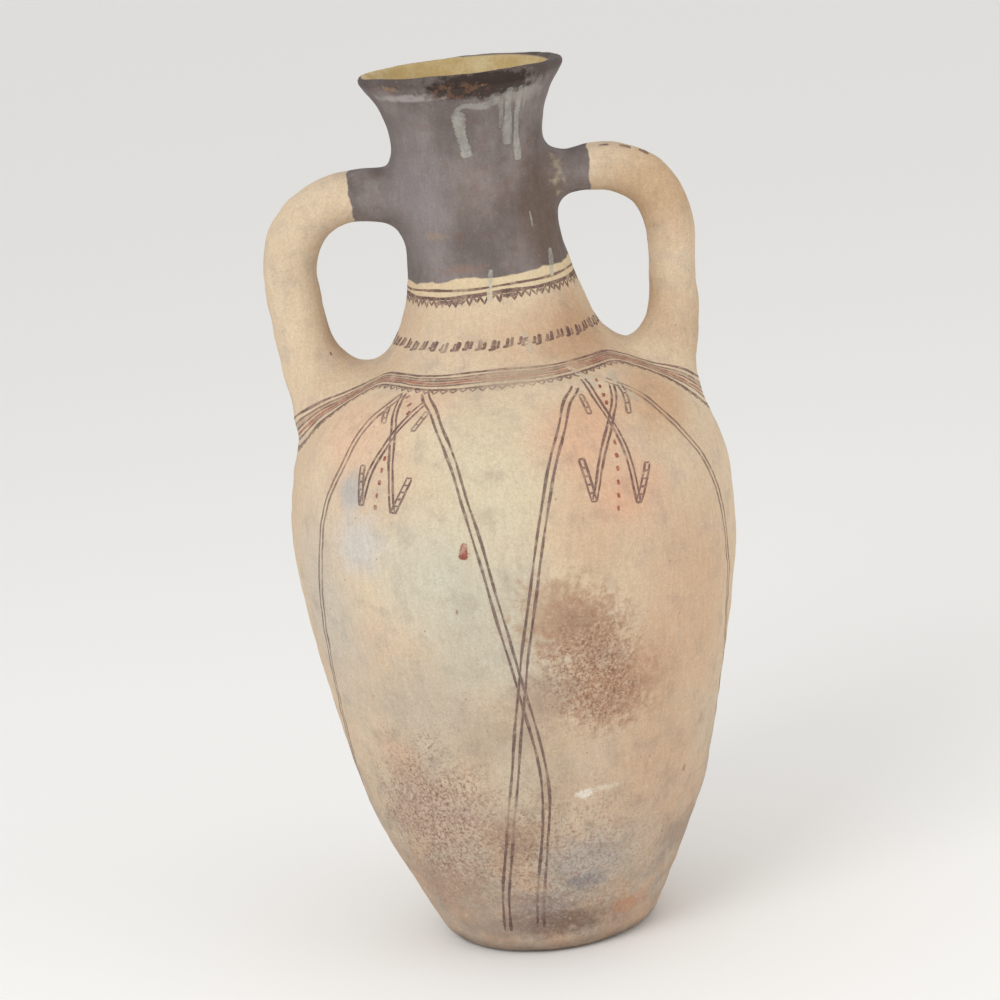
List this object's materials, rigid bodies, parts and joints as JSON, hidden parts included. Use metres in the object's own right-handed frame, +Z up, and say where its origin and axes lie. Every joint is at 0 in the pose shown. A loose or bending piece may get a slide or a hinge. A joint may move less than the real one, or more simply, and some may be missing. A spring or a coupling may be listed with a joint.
{
  "type": "two-handled amphora",
  "caption": "Hand-built earthenware amphora with loop handles from neck to shoulder, dark slipped neck, painted line decoration and a flat foot, for holding and pouring water.",
  "frame": {"origin": "centre of the flat underside, on the vessel's axis", "axes": "+Z up along the vessel's axis through the mouth, handles lie along X"},
  "size_m": [0.2624, 0.2624, 0.52],
  "materials": {
    "painted_clay": "matte, unglazed, stained",
    "slipped_clay": "matte dark slip, worn"
  },
  "bodies": {
    "root": {"floor_disc": "painted_clay", "lower_wall": "painted_clay", "belly_wall": "painted_clay", "shoulder": "painted_clay", "neck_root": "painted_clay", "neck": "slipped_clay", "rim": "slipped_clay", "left_handle": "painted_clay", "right_handle": "painted_clay", "left_neck_collar": "slipped_clay", "right_neck_collar": "slipped_clay", "left_foot_collar": "painted_clay", "right_foot_collar": "painted_clay"}
  },
  "joints": []
}
